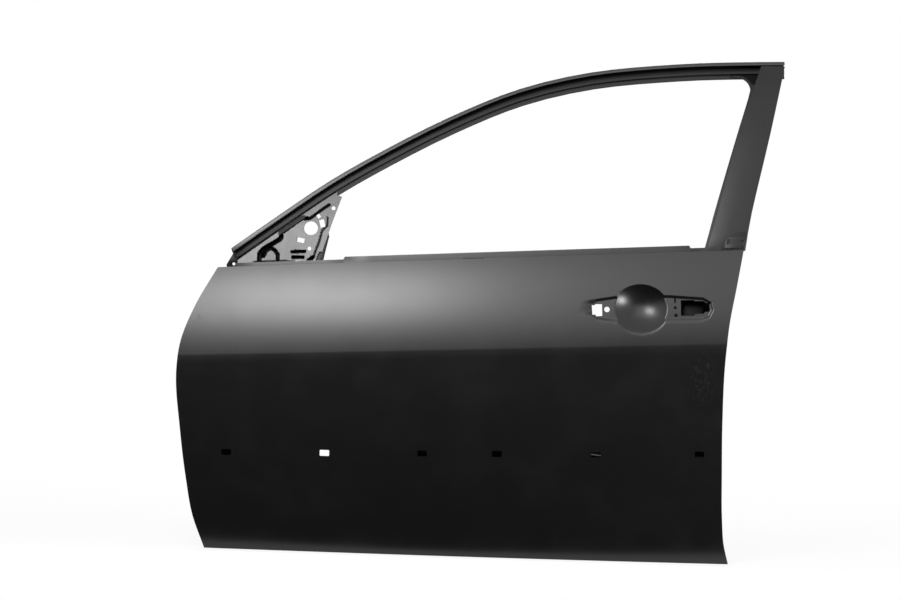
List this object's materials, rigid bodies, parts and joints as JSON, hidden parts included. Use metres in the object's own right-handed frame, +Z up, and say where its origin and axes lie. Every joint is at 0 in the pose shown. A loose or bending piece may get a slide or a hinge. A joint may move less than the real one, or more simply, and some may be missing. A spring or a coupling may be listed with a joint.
{
  "type": "car_door_shell",
  "caption": "Bare front left car door shell of pressed steel with a welded window frame, coated in black primer, without glass, handle, seals or trim.",
  "frame": {"origin": "centre of the upper hinge's face on the front shut wall", "axes": "+X points to the rear of the car, +Y into the cabin and +Z up, with the door shut"},
  "size_m": [1.2606, 0.2788, 1.0625],
  "materials": {
    "skin_primer": "satin",
    "panel_primer": "satin",
    "frame_primer": "satin",
    "bracket_primer": "satin",
    "mastic": "matte"
  },
  "bodies": {
    "root": {"outer_skin": "skin_primer", "inner_panel": "panel_primer", "upper_hinge_reinforcement": "bracket_primer", "lower_hinge_reinforcement": "bracket_primer", "check_strap_reinforcement": "bracket_primer", "latch_reinforcement": "bracket_primer", "upper_hinge_nut_1": "bracket_primer", "upper_hinge_nut_2": "bracket_primer", "lower_hinge_nut_1": "bracket_primer", "lower_hinge_nut_2": "bracket_primer", "check_nut_1": "bracket_primer", "check_nut_2": "bracket_primer", "latch_nut_1": "bracket_primer", "latch_nut_2": "bracket_primer", "latch_nut_3": "bracket_primer", "handle_reinforcement": "bracket_primer", "outer_belt_reinforcement": "frame_primer", "inner_belt_reinforcement": "bracket_primer", "sash_upper": "frame_primer", "sash_rear": "frame_primer", "pillar_plate": "skin_primer", "pillar_foot_bracket": "frame_primer", "sail_panel": "bracket_primer", "mirror_bracket": "bracket_primer", "sash_front_bracket": "frame_primer", "sash_corner_gusset": "frame_primer", "front_lower_sash": "frame_primer", "rear_lower_sash": "frame_primer", "front_sash_strap": "bracket_primer", "rear_sash_strap": "bracket_primer", "pillar_sash_strap": "bracket_primer", "impact_beam": "panel_primer", "beam_bracket_front": "bracket_primer", "beam_bracket_rear": "bracket_primer", "mastic_pad_1": "mastic", "mastic_pad_2": "mastic", "mastic_pad_3": "mastic"}
  },
  "joints": []
}
